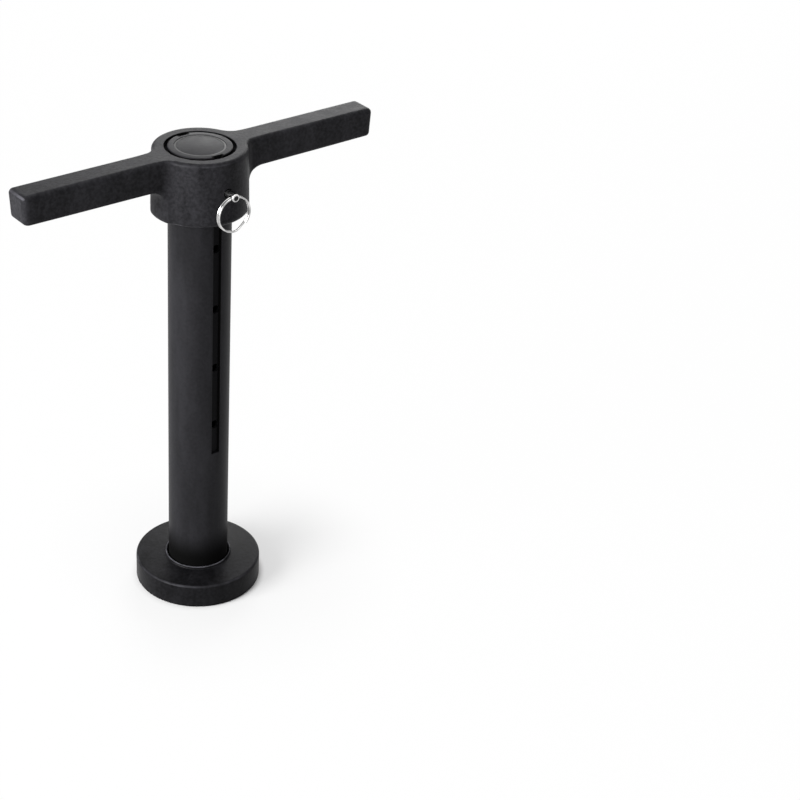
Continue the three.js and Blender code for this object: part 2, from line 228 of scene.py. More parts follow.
def make_coat_grain():
    inputs = {"Peel size": 2.4 * MM, "Grain size": 0.5 * MM, "Grain share": 0.3}
    tree, value, output = start_masks("coat grain", inputs, "Height", "Speck")
    place = texture_place(tree)
    peel = noise(tree, place, value["Peel size"], PEEL_DETAIL)
    grain = noise(tree, place, value["Grain size"])
    share = value["Grain share"]
    feed(tree, output.inputs["Height"], peel * (1.0 - share) + grain * share)
    feed(tree, output.inputs["Speck"], eased(tree, grain, *SPECK_RANGE))
    return tree


coat_grain = make_coat_grain()

# %% Node group: soft patches left by hands and cloths
PATCH_DETAIL = 3.0
PATCH_ROUGHNESS = 0.6
PATCH_RANGE = (0.35, 0.68)


def make_handling_marks():
    inputs = {"Patch size": 16 * MM, "Smear": 4.0}
    tree, value, output = start_masks("handling marks", inputs, "Patch")
    x, y, z = apart(tree, texture_place(tree))
    size = value["Patch size"]
    place = together(tree, x / size, y / size, z / (size * value["Smear"]))
    lumps = noise(tree, place, detail=PATCH_DETAIL, roughness=PATCH_ROUGHNESS)
    feed(tree, output.inputs["Patch"], eased(tree, lumps, *PATCH_RANGE))
    return tree


handling_marks = make_handling_marks()

# %% Node group: thin scuffs from plates that slide on and off
SCUFF_TURNS = (0.5, 2.1)
SCUFF_CLIMB = 0.35
SCUFF_DETAIL = 1.0
SCUFF_RANGE = (0.68, 0.76)
BEND_SIZE = 30 * MM
BEND_WIDTHS = 6.0
SCUFFED_SPOT_SIZE = 16 * MM
SCUFFED_SPOT_RANGE = (0.5, 0.66)


def make_scuffs():
    inputs = {"Length": 22 * MM, "Width": 0.7 * MM, "Amount": 0.5}
    tree, value, output = start_masks("scuffs", inputs, "Scuff")
    x, y, z = apart(tree, texture_place(tree))
    bend = noise(tree, texture_place(tree), BEND_SIZE) * value["Width"] * BEND_WIDTHS
    lines = []
    for turn in SCUFF_TURNS:
        across = x * math.cos(turn) + y * math.sin(turn) + z * SCUFF_CLIMB + bend
        along = y * math.cos(turn) - x * math.sin(turn)
        place = together(tree, across / value["Width"], along / value["Length"], z / value["Length"])
        lines.append(eased(tree, noise(tree, place, detail=SCUFF_DETAIL), *SCUFF_RANGE))
    spots = eased(tree, noise(tree, texture_place(tree), SCUFFED_SPOT_SIZE), *SCUFFED_SPOT_RANGE)
    feed(tree, output.inputs["Scuff"], lines[0].most(lines[1]) * spots * value["Amount"])
    return tree


scuffs = make_scuffs()

# %% Node group: painted shade in the grooves, round the post's foot, in the hub's mouth and near the ground
WALL_FADE_START = 0.4
FOOT_FADE_START = 0.5


def make_painted_shade():
    inputs = {
        "Half width": 3.6 * MM, "Spread": 1.8 * MM, "Floor": 21.0 * MM, "Floor share": 0.66,
        "Lip": 23.4 * MM, "Lip fade": 0.3 * MM, "Foot radius": 25.0 * MM, "Foot height": 56.0 * MM,
        "Mouth radius": 26.8 * MM, "Mouth bottom": 378.6 * MM, "Mouth top": 380.3 * MM,
        "Ground": 0.8 * MM, "Ground fade": 1.6 * MM,
    }
    tree, value, output = start_masks("painted_shade", inputs, "Painted shade")
    x, y, z = apart(tree, texture_place(tree))
    radius = x.hypotenuse(y)
    across = x.size()
    to_wall = (across - value["Half width"]).size()
    beside_wall = fading(tree, to_wall, value["Spread"] * WALL_FADE_START, value["Spread"])
    on_floor = across.below(value["Half width"]) * value["Floor share"]
    below_lip = fading(tree, y.size(), value["Lip"] - value["Lip fade"], value["Lip"])
    in_groove = below_lip * y.size().above(value["Floor"])
    at_foot = fading(tree, z, value["Foot height"] * FOOT_FADE_START, value["Foot height"])
    on_foot = at_foot * radius.below(value["Foot radius"])
    beside_post = radius.above(value["Lip"]) * radius.below(value["Mouth radius"])
    in_mouth = beside_post * z.above(value["Mouth bottom"]) * z.below(value["Mouth top"])
    near_ground = fading(tree, z, value["Ground"], value["Ground"] + value["Ground fade"])
    # Painted shade: the coat goes dark beside the groove walls, on the groove floor, at the post's foot, in
    # the gap at the hub's mouth and along the base's bottom edge.
    dark = (beside_wall.most(on_floor) * in_groove).most(on_foot).most(in_mouth).most(near_ground)
    feed(tree, output.inputs["Painted shade"], dark)
    return tree


painted_shade = make_painted_shade()

# %% Node group: a painted highlight along an edge that runs in a circle round the post, patchy in places
HIGHLIGHT_FADE_START = 0.5
HIGHLIGHT_SPOT_SIZE = 14 * MM
HIGHLIGHT_SPOT_RANGE = (0.4, 0.65)


def make_edge_highlight():
    inputs = {"Radius": 25.7 * MM, "Height": 22.6 * MM, "Width": 1.2 * MM, "Least": 0.3}
    tree, value, output = start_masks("edge highlight", inputs, "Highlight")
    x, y, z = apart(tree, texture_place(tree))
    off_edge = (x.hypotenuse(y) - value["Radius"]).hypotenuse(z - value["Height"])
    on_edge = fading(tree, off_edge, value["Width"] * HIGHLIGHT_FADE_START, value["Width"])
    spots = eased(tree, noise(tree, texture_place(tree), HIGHLIGHT_SPOT_SIZE), *HIGHLIGHT_SPOT_RANGE)
    feed(tree, output.inputs["Highlight"], on_edge * (spots * (1.0 - value["Least"]) + value["Least"]))
    return tree


edge_highlight = make_edge_highlight()


# %% Node group: a painted dark reflection on the end face of the locking pin
def make_dark_end_reflection():
    inputs = {"Radius": 2.2 * MM, "End": 45.8 * MM, "Height": 356.7 * MM, "Fade": 0.4 * MM}
    tree, value, output = start_masks("dark end reflection", inputs, "Dark reflection")
    x, y, z = apart(tree, texture_place(tree))
    off_middle = x.hypotenuse(z - value["Height"])
    inside = fading(tree, off_middle, value["Radius"] - value["Fade"], value["Radius"])
    feed(tree, output.inputs["Dark reflection"], inside * (-y).above(value["End"]))
    return tree


dark_end_reflection = make_dark_end_reflection()


# %% [markdown]
# A finish is one material with one Principled shader. What is the same all over, such as the coat's
# specular level, is set on the shader's own socket. What changes over the surface comes out of the groups:
# two tones are mixed by a mask for the colour, a roughness is moved up and down by the same masks, and a
# height goes through a Bump node. A few helpers do that, so each finish comes down to a short list of its
# own numbers.

# %% Helpers: a finish from masks and heights
def place_group(tree, group, **values):
    """Puts a node group in a material, sets its named inputs and returns its outputs as values by name."""
    node = tree.nodes.new("ShaderNodeGroup")
    node.node_tree = group
    for label, number in values.items():
        node.inputs[label.replace("_", " ").capitalize()].default_value = number
    return {output.name: Value(tree, output) for output in node.outputs}


def grey(level, warmth=0.0):
    return (level * (1 + warmth), level, level * (1 - warmth), 1.0)


def tinted(tree, mask, low, high):
    """A colour between two, by a mask."""
    node = add_node(tree, "ShaderNodeMix", data_type="RGBA")
    chosen = {socket.name: socket for socket in node.inputs if socket.enabled}
    feed(tree, chosen["Factor"], mask)
    feed(tree, chosen["A"], low)
    feed(tree, chosen["B"], high)
    return next(socket for socket in node.outputs if socket.enabled)


def start_material(name, **numbers):
    """A material with its Principled shader, whose plain numbers are set on its own sockets."""
    material = bpy.data.materials.new(name)
    material.use_nodes = True
    shader = material.node_tree.nodes["Principled BSDF"]
    for label, number in numbers.items():
        shader.inputs[label.replace("_", " ")].default_value = number
    print("finish:", name)
    return material, material.node_tree, shader


def dress(tree, shader, color, roughness, height, depth):
    """Feeds a shader its colour, its roughness and, from a height between 0 and 1, a relief that deep."""
    relief = add_node(tree, "ShaderNodeBump", {"Height": height, "Strength": 1.0, "Distance": depth})
    feed(tree, shader.inputs["Base Color"], color)
    feed(tree, shader.inputs["Roughness"], roughness)
    feed(tree, shader.inputs["Normal"], relief.outputs["Normal"])


# %% Finish: sprayed coats on the post, the casting, the base and the disc
COOL_CAST = (0.985, 0.97, 1.105)
PATCH_TONE = 0.35
SPECK_TONE = 0.3
MOTTLE_RANGE = (0.3, 0.7)
PAINTED_SHADE_LEVEL = 0.001
HIGHLIGHT_LEVEL = 0.085
PATCH_DULLING = 0.06
SPECK_DULLING = 0.06
SCUFF_DULLING = 0.12
PAINTED_SHADE_DULLING = 0.5


def cool(level):
    """A grey with a faint blue cast, as black coats have in daylight."""
    return (*(level * share for share in COOL_CAST), 1.0)


def make_sprayed_coat(name, low, high, roughness, specular, grain_depth, mottle, scuffed=0.0, edges=()):
    """A coat in two tones, with painted shade in its recesses and painted highlights along some edges. Each
    highlighted edge is a circle round the post: its radius, its height and its strength.
    """
    material, tree, shader = start_material(name, Specular_IOR_Level=specular)
    grain = place_group(tree, coat_grain)
    patch = place_group(tree, handling_marks)["Patch"]
    scuff = place_group(tree, scuffs, amount=scuffed)["Scuff"]
    shade_mask = place_group(tree, painted_shade)["Painted shade"]
    mottled = eased(tree, grain["Height"], *MOTTLE_RANGE) * mottle
    tone = (patch * PATCH_TONE + mottled + grain["Speck"] * SPECK_TONE + scuff).least(1.0)
    color = tinted(tree, tone, cool(low), cool(high))
    # Painted shade, darkening the coat in the grooves, the gaps and next to the ground.
    color = tinted(tree, shade_mask, color, grey(PAINTED_SHADE_LEVEL))
    # Painted highlights: a lighter colour along the rounded edges where light catches them.
    for radius, height, highlight_strength in edges:
        lit_edge = place_group(tree, edge_highlight, radius=radius * MM, height=height * MM)["Highlight"]
        color = tinted(tree, lit_edge * highlight_strength, color, cool(HIGHLIGHT_LEVEL))
    dulled = patch * PATCH_DULLING + grain["Speck"] * SPECK_DULLING + scuff * SCUFF_DULLING
    dulled = dulled + shade_mask * PAINTED_SHADE_DULLING
    dress(tree, shader, color, dulled + roughness, grain["Height"], grain_depth)
    return material


# The edges of a coat are its painted highlights, each a radius and a height in millimetres and a strength.
COATS = {
    "black coat": dict(
        low=0.010, high=0.024, roughness=0.40, specular=0.06, grain_depth=0.07 * MM, mottle=0.2,
    ),
    "cast coat": dict(
        low=0.007, high=0.029, roughness=0.42, specular=0.06, grain_depth=0.14 * MM, mottle=0.5,
        edges=((151.1, 379.4, 0.7), (35.6, 379.4, 0.3), (35.0, 331.6, 0.4)),
    ),
    "base coat": dict(
        low=0.003, high=0.016, roughness=0.36, specular=0.05, grain_depth=0.10 * MM, mottle=0.35,
        scuffed=0.8, edges=((25.7, 22.6, 1.0), (49.6, 19.8, 0.35)),
    ),
    "disc coat": dict(
        low=0.009, high=0.020, roughness=0.42, specular=0.07, grain_depth=0.05 * MM, mottle=0.25,
    ),
}
black_coat, cast_coat, base_coat, disc_coat = [
    make_sprayed_coat(name, **numbers) for name, numbers in COATS.items()
]

# %% Finish: moulded plastic on the plug, and rubber under the base
MOULDED_SPECULAR = 0.4
PORE_DETAIL = 3.0
MOULDED_PATCH_SIZE = 14 * MM
MOULDED_CONTRAST = 1.5
MOULDED_PATCH_DULLING = 0.1
PORE_DULLING = 0.08


def make_moulded(name, tone, roughness, pore_size, pore_depth):
    material, tree, shader = start_material(name, Specular_IOR_Level=MOULDED_SPECULAR)
    pores = noise(tree, texture_place(tree), pore_size, PORE_DETAIL)
    patch = place_group(tree, handling_marks, patch_size=MOULDED_PATCH_SIZE)["Patch"]
    dulled = patch * MOULDED_PATCH_DULLING + pores * PORE_DULLING
    color = tinted(tree, patch, grey(tone), grey(tone * MOULDED_CONTRAST))
    dress(tree, shader, color, dulled + roughness, pores, pore_depth)
    return material


top_plastic = make_moulded(
    "top plastic", tone=0.011, roughness=0.42, pore_size=0.5 * MM, pore_depth=0.02 * MM,
)
rubber = make_moulded("rubber", tone=0.010, roughness=0.75, pore_size=0.8 * MM, pore_depth=0.06 * MM)

# %% Finish: bright nickel on the pin and ring, dull zinc on the fastenings
CLOUD_DETAIL = 4.0
CLOUD_RANGE = (0.3, 0.7)
HAIRLINE_LENGTH = 5 * MM
HAIRLINE_WIDTH = 0.12 * MM
DARK_END_LEVEL = 0.03
CLOUD_DULLING = 0.08
HAIRLINE_DULLING = 0.15
DARK_END_DULLING = 0.3


def make_plated(name, low, high, roughness, cloud_size, scratch_depth, edge_tint=1.0):
    material, tree, shader = start_material(name, Metallic=1.0, Specular_Tint=grey(edge_tint))
    cloud = noise(tree, texture_place(tree), cloud_size, CLOUD_DETAIL)
    hairline = place_group(tree, scuffs, length=HAIRLINE_LENGTH, width=HAIRLINE_WIDTH, amount=1.0)["Scuff"]
    # Painted dark reflection: the pin's end face is coloured dark where the real end mirrors dark
    # surroundings.
    dark_end = place_group(tree, dark_end_reflection)["Dark reflection"]
    plating = tinted(tree, eased(tree, cloud, *CLOUD_RANGE), low, high)
    dulled = cloud * CLOUD_DULLING + hairline * HAIRLINE_DULLING + dark_end * DARK_END_DULLING
    color = tinted(tree, dark_end, plating, grey(DARK_END_LEVEL))
    dress(tree, shader, color, dulled + roughness, hairline, scratch_depth)
    return material


# The bright steel's edge tint is set dark, so the ring's and pin's grazing edges render dark: a painted
# reflection of the black hub and the shade round them.
bright_steel = make_plated(
    "bright steel", low=grey(0.34), high=grey(0.74, 0.01), roughness=0.14, cloud_size=6 * MM,
    scratch_depth=0.004 * MM, edge_tint=0.1,
)
zinc = make_plated(
    "zinc", low=grey(0.42, 0.01), high=grey(0.56, -0.01), roughness=0.32, cloud_size=3 * MM,
    scratch_depth=0.008 * MM,
)

# %% [markdown]
# The floor and the light are those of a white studio. The world is white to the camera and in reflections,
# and weaker as a light. The main lamp is wide and stands at the left, so that round and flat sides fall off
# to the right. One overhead softens its shadow, and one behind is mirrored in the flat tops. The floor is a
# real pale floor that catches the shadow. It also has a white of its own, for camera and mirror rays alone:
# none right at the base, about half beside it and nearly all further out. So the base keeps the dark line
# where it touches the floor, the ground fades to white and no extra light falls on the object.

# %% Light the studio
WORLD_LIGHT = 0.24
LAMPS = {
    "overhead": dict(place=(-0.2, -0.1, 1.7), size=1.5, watts=6.0),
    "side": dict(place=(-2.2, 0.0, 1.05), size=1.4, watts=116.0),
    "back": dict(place=(1.5, 1.5, 0.75), size=1.2, watts=21.0),
}
LAMP_AIM = Vector((0, 0, 0.2))


def seen_directly(tree):
    """1 for camera, mirror and see-through rays, else 0."""
    paths = tree.nodes.new("ShaderNodeLightPath")
    labels = ("Is Camera Ray", "Is Glossy Ray", "Is Transmission Ray")
    camera, mirror, through = [Value(tree, paths.outputs[label]) for label in labels]
    return camera.most(mirror).most(through)


world = bpy.data.worlds.new("studio")
world.use_nodes = True
scene.world = world
world_tree = world.node_tree
background = world_tree.nodes["Background"]
background.inputs["Color"].default_value = (1, 1, 1, 1)
feed(world_tree, background.inputs["Strength"], seen_directly(world_tree) * (1.0 - WORLD_LIGHT) + WORLD_LIGHT)

for name, lamp in LAMPS.items():
    data = bpy.data.lights.new(name, "AREA")
    data.size = lamp["size"]
    data.energy = lamp["watts"]
    light = bpy.data.objects.new(name, data)
    light.location = lamp["place"]
    light.rotation_euler = (LAMP_AIM - light.location).to_track_quat("-Z", "Y").to_euler()
    scene.collection.objects.link(light)
print("lamps:", list(LAMPS))

# %% Lay the floor
FLOOR_HALF = 6.0
FLOOR_GREY = 0.75
NEAR_WHITE = 0.55
FAR_WHITE = 0.98
WHITE_RANGE = (0.05, 0.18)
CONTACT_RANGE = (0.048, 0.056)

floor_material = bpy.data.materials.new("floor")
floor_material.use_nodes = True
floor_tree = floor_material.node_tree
floor_tree.nodes.remove(floor_tree.nodes["Principled BSDF"])
matt = add_node(floor_tree, "ShaderNodeBsdfDiffuse", {"Color": grey(FLOOR_GREY)})
glow = add_node(floor_tree, "ShaderNodeEmission", {"Color": grey(1.0), "Strength": 1.0})
floor_x, floor_y = apart(floor_tree, texture_place(floor_tree))[:2]
from_post = floor_x.hypotenuse(floor_y)
further_out = eased(floor_tree, from_post, *WHITE_RANGE)
clear_of_base = eased(floor_tree, from_post, *CONTACT_RANGE)
own_white = (further_out * (FAR_WHITE - NEAR_WHITE) + NEAR_WHITE) * clear_of_base
floor_mix = add_node(floor_tree, "ShaderNodeMixShader", {
    0: seen_directly(floor_tree) * own_white, 1: matt.outputs[0], 2: glow.outputs[0],
})
floor_tree.links.new(floor_mix.outputs[0], floor_tree.nodes["Material Output"].inputs["Surface"])

floor_mesh = bpy.data.meshes.new("floor")
corners = [(x * FLOOR_HALF, y * FLOOR_HALF, 0) for x, y in ((-1, -1), (1, -1), (1, 1), (-1, 1))]
floor_mesh.from_pydata(corners, [], [(0, 1, 2, 3)])
floor_mesh.materials.append(floor_material)
floor = bpy.data.objects.new("floor", floor_mesh)
scene.collection.objects.link(floor)
print("floor:", 2 * FLOOR_HALF, "m square")

# %% [markdown]
# Most of the pieces are round, so they are turned: a half profile of (radius, height) points goes round the
# Z axis, as on a lathe. Blender's Screw modifier could do it, but a few lines of bmesh close the poles and
# give exact control of the corner rounds. The faces are recalculated to point outwards, and edges that are
# sharper than a limit stay crisp while the rest is shaded smooth.

# %% Helpers: put a mesh in the scene, and turn a profile
TURNED_STEPS = 192
SMALL_STEPS = 96
TINY_STEPS = 48
CORNER_STEPS = 8
MERGE_DISTANCE = 0.0005 * MM


def new_piece(name, builder, material=None):
    """Makes an object from a bmesh, with its faces outwards."""
    bmesh.ops.remove_doubles(builder, verts=builder.verts, dist=MERGE_DISTANCE)
    bmesh.ops.recalc_face_normals(builder, faces=builder.faces)
    mesh = bpy.data.meshes.new(name)
    builder.to_mesh(mesh)
    builder.free()
    if material:
        mesh.materials.append(material)
    made = bpy.data.objects.new(name, mesh)
    scene.collection.objects.link(made)
    return made


def add_ring(builder, points, height):
    """A ring of vertices at one height, in millimetres."""
    return [builder.verts.new((x * MM, y * MM, height * MM)) for x, y in points]


def join_rings(builder, rings):
    """Faces from each ring to the next, and from the last to the first. A ring of one vertex is a pole."""
    for ring, following in zip(rings, rings[1:] + rings[:1]):
        count = max(len(ring), len(following))
        if count == 1:
            continue
        for i in range(count):
            j = (i + 1) % count
            corners = [
                ring[i % len(ring)], ring[j % len(ring)],
                following[j % len(following)], following[i % len(following)],
            ]
            builder.faces.new(list(dict.fromkeys(corners)))


def corner(radius, height, size, start, end, steps=CORNER_STEPS):
    """Points of a rounded corner about a centre. Its angles are in quarter turns: 0 is outwards, 1 is up."""
    quarters = [start + (end - start) * i / steps for i in range(steps + 1)]
    angles = [quarter * math.pi / 2 for quarter in quarters]
    return [(radius + size * math.cos(angle), height + size * math.sin(angle)) for angle in angles]


def turned(name, profile, material=None, steps=TURNED_STEPS):
    """Turns a closed half profile, in millimetres, about the Z axis."""
    builder = bmesh.new()
    rings = []
    for radius, height in profile:
        count = steps if radius > 0 else 1
        turns = [2 * math.pi * i / count for i in range(count)]
        points = [(radius * math.cos(turn), radius * math.sin(turn)) for turn in turns]
        rings.append(add_ring(builder, points, height))
    join_rings(builder, rings)
    return new_piece(name, builder, material)


# %% Helpers: run a geometry tree on a piece, move it, and settle a finished piece
CRISP_ANGLE = math.radians(32)
NO_TURN = (0.0, 0.0, 0.0)
ALONG_X = (0, math.pi / 2, 0)
ALONG_Y = (math.pi / 2, 0, 0)


def keep_result(made):
    """Makes what a piece's modifiers give its own plain mesh."""
    depsgraph = bpy.context.evaluated_depsgraph_get()
    mesh = bpy.data.meshes.new_from_object(made.evaluated_get(depsgraph), depsgraph=depsgraph)
    made.modifiers.clear()
    made.data = mesh


def run_tree(made, tree, values):
    """Runs a geometry node tree on a piece, with its inputs by name, and keeps the result."""
    modifier = made.modifiers.new(tree.name, "NODES")
    modifier.node_group = tree
    for item in tree.interface.items_tree:
        if item.item_type == "SOCKET" and item.in_out == "INPUT" and item.name in values:
            modifier[item.identifier] = values[item.name]
    keep_result(made)


def in_metres(place):
    return tuple(value * MM for value in place)


def move(made, place, turn=NO_TURN):
    """Turns a piece made at the origin, then moves it to a place in millimetres."""
    made.data.transform(Matrix.Translation(in_metres(place)) @ Euler(turn).to_matrix().to_4x4())


def settle(made, body, slot, *nodes):
    """Shades a finished piece, puts it on its body and hides the CAD nodes that it stands for. The slot is
    not used.
    """
    made.data.shade_smooth()
    made.data.set_sharp_from_angle(angle=CRISP_ANGLE)
    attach(made, body)
    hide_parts(*nodes)
    made.data.calc_loop_triangles()
    places = [vert.co / MM for vert in made.data.vertices]
    low, high = [[round(bound(place[i] for place in places), 2) for i in range(3)] for bound in (min, max)]
    print(f"{made.name}: {len(made.data.loop_triangles)} triangles, {low} to {high} mm")


# %% [markdown]
# Drilled holes turn up on the post, in the hub and in the pin. A row of them follows a rule: one radius,
# one direction, one pitch and a count. So one geometry tree drills them all. It places a rod on each point
# of a line and takes the rods away from the piece with a Mesh Boolean. A single hole is a row of one.

# %% Geometry tree: a row of drilled holes
DRILL_SIDES = 96


def end_tree(tree, output, geometry, material):
    """Ends a geometry tree: its instances are made real, and the whole is given its material."""
    whole = add_node(tree, "GeometryNodeRealizeInstances", {"Geometry": geometry})
    coated = add_node(tree, "GeometryNodeSetMaterial", {"Geometry": whole.outputs[0], "Material": material})
    feed(tree, output.inputs[0], coated.outputs[0])
    return tree


def make_drilled_row():
    inputs = {
        "Piece": ("Geometry", None), "First hole": ("Vector", (0, 0, 0)), "Turn": ("Rotation", None),
        "Radius": 3 * MM, "Length": 30 * MM, "Pitch": ("Vector", (0, 0, 0)), "Count": ("Int", 1),
        "Sides": ("Int", DRILL_SIDES), "Material": ("Material", None),
    }
    tree, value, output = start_tree("drilled row", "GeometryNodeTree", inputs, {"Piece": "Geometry"})
    line = add_node(tree, "GeometryNodeMeshLine", {
        "Count": value["Count"], "Start Location": value["First hole"], "Offset": value["Pitch"],
    })
    rod = add_node(tree, "GeometryNodeMeshCylinder", {
        "Vertices": value["Sides"], "Radius": value["Radius"], "Depth": value["Length"],
    })
    rods = add_node(tree, "GeometryNodeInstanceOnPoints", {
        "Points": line.outputs[0], "Instance": rod.outputs["Mesh"], "Rotation": value["Turn"],
    })
    loose = add_node(tree, "GeometryNodeRealizeInstances", {"Geometry": rods.outputs[0]})
    drilled = add_node(tree, "GeometryNodeMeshBoolean", operation="DIFFERENCE", solver="MANIFOLD")
    feed(tree, drilled.inputs["Mesh 1"], value["Piece"])
    feed(tree, drilled.inputs["Mesh 2"], loose.outputs[0])
    return end_tree(tree, output, drilled.outputs["Mesh"], value["Material"])


drilled_row = make_drilled_row()


def drill(made, material, place, turn, radius, length, sides=DRILL_SIDES, pitch=(0, 0, 0), count=1):
    """Drills a row of holes round a first place, in millimetres."""
    run_tree(made, drilled_row, {
        "First hole": in_metres(place), "Turn": turn, "Radius": radius * MM, "Length": length * MM,
        "Pitch": in_metres(pitch), "Count": count, "Sides": sides, "Material": material,
    })


# %% [markdown]
# The post is a steel tube with a groove down its front and one down its back. The grooves stop short of the
# foot. They could be cut with booleans, but then their edges would be razor sharp. Here the tube's outline
# is drawn with the grooves in it, with a small round at each lip and in each corner of the floor, and rings
# of that outline are stacked up. Below the grooves the same points lie on the plain circle. The rings at
# the groove's end carry its ledge, and points that fall together are merged.

# %% Sizes of the post
POST_TOP = 381.0
POST_BOTTOM = 11.9
POST_RADIUS = 23.8
POST_BORE = 19.05
POST_RIM_ROUND = 0.6
BORE_CHAMFER = 0.15
GROOVE_HALF = 3.6
GROOVE_FLOOR = 21.3
GROOVE_END = 128.0
LIP_ROUND = 0.4
FLOOR_ROUND = 0.5
HOLE_RADIUS = 3.45
HOLE_PITCH = 50.8
HOLE_COUNT = 5
TOP_HOLE = 356.7
HOLE_LENGTH = 14.0
ROUND_STEPS = 5
SIDE_STEPS = 54


# %% Draw the outline of the post, groove and all
def quarter_outline():
    """From the middle of the front groove's floor round to the right side."""
    points = [(0.0, -GROOVE_FLOOR), (GROOVE_HALF / 2, -GROOVE_FLOOR)]
    points += corner(GROOVE_HALF - FLOOR_ROUND, -GROOVE_FLOOR - FLOOR_ROUND, FLOOR_ROUND, 1, 0, ROUND_STEPS)
    lip_x = GROOVE_HALF + LIP_ROUND
    lip_y = -math.sqrt((POST_RADIUS - LIP_ROUND) ** 2 - lip_x ** 2)
    outward = math.atan2(lip_y, lip_x) / (math.pi / 2)
    points += corner(lip_x, lip_y, LIP_ROUND, -2, outward, ROUND_STEPS)
    points += corner(0, 0, POST_RADIUS, outward, 0, SIDE_STEPS)[1:]
    return points


def whole_outline():
    quarter = quarter_outline()
    right = quarter + [(x, -y) for x, y in reversed(quarter[:-1])]
    return right + [(-x, y) for x, y in reversed(right[1:-1])]


def outline_at(reach, groove_share):
    """The outline cut back to a radius, with its grooves at a share of their depth."""
    points = []
    for x, y in whole_outline():
        if abs(x) < GROOVE_HALF + LIP_ROUND:
            plain = math.copysign(math.sqrt(POST_RADIUS ** 2 - x * x), y)
            y = plain + (y - plain) * groove_share
            y = math.copysign(min(abs(y), math.sqrt(reach ** 2 - x * x)), y)
            points.append((x, y))
        else:
            points.append((x * reach / POST_RADIUS, y * reach / POST_RADIUS))
    return points


print("points in the post's outline:", len(whole_outline()))


# %% Stack the outlines into the post, then drill the index holes
def make_post():
    depth = POST_RADIUS - GROOVE_FLOOR
    levels = [(POST_RADIUS - LIP_ROUND, POST_BOTTOM, 0.0), (POST_RADIUS, POST_BOTTOM + LIP_ROUND, 0.0)]
    ledge_lip = corner(LIP_ROUND, GROOVE_END - LIP_ROUND, LIP_ROUND, 2, 1, ROUND_STEPS)
    ledge_root = corner(depth - FLOOR_ROUND, GROOVE_END + FLOOR_ROUND, FLOOR_ROUND, -1, 0, ROUND_STEPS)
    levels += [(POST_RADIUS, height, deep / depth) for deep, height in ledge_lip + ledge_root]
    rim = corner(POST_RADIUS - POST_RIM_ROUND, POST_TOP - POST_RIM_ROUND, POST_RIM_ROUND, 0, 1, ROUND_STEPS)
    levels += [(radius, height, 1.0) for radius, height in rim]
    builder = bmesh.new()
    rings = [add_ring(builder, outline_at(reach, share), height) for reach, height, share in levels]
    bore = [
        (POST_BORE + BORE_CHAMFER, POST_TOP),
        (POST_BORE, POST_TOP - BORE_CHAMFER),
        (POST_BORE, POST_BOTTOM),
    ]
    for radius, height in bore:
        scaled = [Vector(point).normalized() * radius for point in outline_at(POST_RADIUS, 0.0)]
        rings.append(add_ring(builder, scaled, height))
    join_rings(builder, rings)
    return new_piece("post", builder, black_coat)


post = make_post()
drill(post, black_coat, (0, -GROOVE_FLOOR, TOP_HOLE), ALONG_Y, HOLE_RADIUS, HOLE_LENGTH,
      pitch=(0, 0, -HOLE_PITCH), count=HOLE_COUNT)
settle(post, "post", "black_coat", "post_tube")

# %% [markdown]
# The base is a thick turned disc. A thin lip stands round the post's foot with a dark trench inside it, and
# the outer edges are well rounded, because the coat is thick there. Underneath is a pocket for the bolt and
# a shallow recess for a rubber pad. One half profile holds all of this.

# %% Turn the base
BASE_RADIUS = 50.2
BASE_TOP = 20.4
BASE_BOTTOM = 0.4
BASE_TOP_ROUND = 2.0
BASE_BOTTOM_ROUND = 1.0
SOCKET_RADIUS = 24.2
SOCKET_FLOOR = 11.6
LIP_MIDDLE = 25.8
LIP_HALF = 0.6
LIP_TOP = 22.6
LIP_FOOT = 1.2
TRENCH_FLOOR = 17.0
BOLT_CLEARANCE = 6.3
POCKET_RADIUS = 12.3
POCKET_TOP = 7.6
PAD_INNER = 17.0
PAD_OUTER = 44.0
PAD_TOP = 2.4
SEAT_GAP = 0.3

base = turned("base", [
    (BOLT_CLEARANCE, POCKET_TOP),
    (POCKET_RADIUS, POCKET_TOP),
    (POCKET_RADIUS, BASE_BOTTOM),
    (PAD_INNER - SEAT_GAP, BASE_BOTTOM),
    (PAD_INNER - SEAT_GAP, PAD_TOP),
    (PAD_OUTER + SEAT_GAP, PAD_TOP),
    (PAD_OUTER + SEAT_GAP, BASE_BOTTOM),
    *corner(BASE_RADIUS - BASE_BOTTOM_ROUND, BASE_BOTTOM + BASE_BOTTOM_ROUND, BASE_BOTTOM_ROUND, -1, 0),
    *corner(BASE_RADIUS - BASE_TOP_ROUND, BASE_TOP - BASE_TOP_ROUND, BASE_TOP_ROUND, 0, 1),
    *corner(LIP_MIDDLE + LIP_HALF + LIP_FOOT, BASE_TOP + LIP_FOOT, LIP_FOOT, -1, -2, steps=6),
    *corner(LIP_MIDDLE, LIP_TOP - LIP_HALF, LIP_HALF, 0, 2),
    (LIP_MIDDLE - LIP_HALF, TRENCH_FLOOR),
    (SOCKET_RADIUS, TRENCH_FLOOR),
    (SOCKET_RADIUS, SOCKET_FLOOR),
    (BOLT_CLEARANCE, SOCKET_FLOOR),
], base_coat)
settle(base, "post", "base_coat", "base_disc")

# %% Turn the rubber pad, the washer and the bolt under the base
PAD_ROUND = 0.5
pad = turned("pad", [
    *corner(PAD_INNER + PAD_ROUND, PAD_ROUND, PAD_ROUND, -2, -1, steps=4),
    *corner(PAD_OUTER - PAD_ROUND, PAD_ROUND, PAD_ROUND, -1, 0, steps=4),
    (PAD_OUTER, PAD_TOP - SEAT_GAP),
    (PAD_INNER, PAD_TOP - SEAT_GAP),
], rubber)
settle(pad, "post", "rubber_pad", "base_pad")

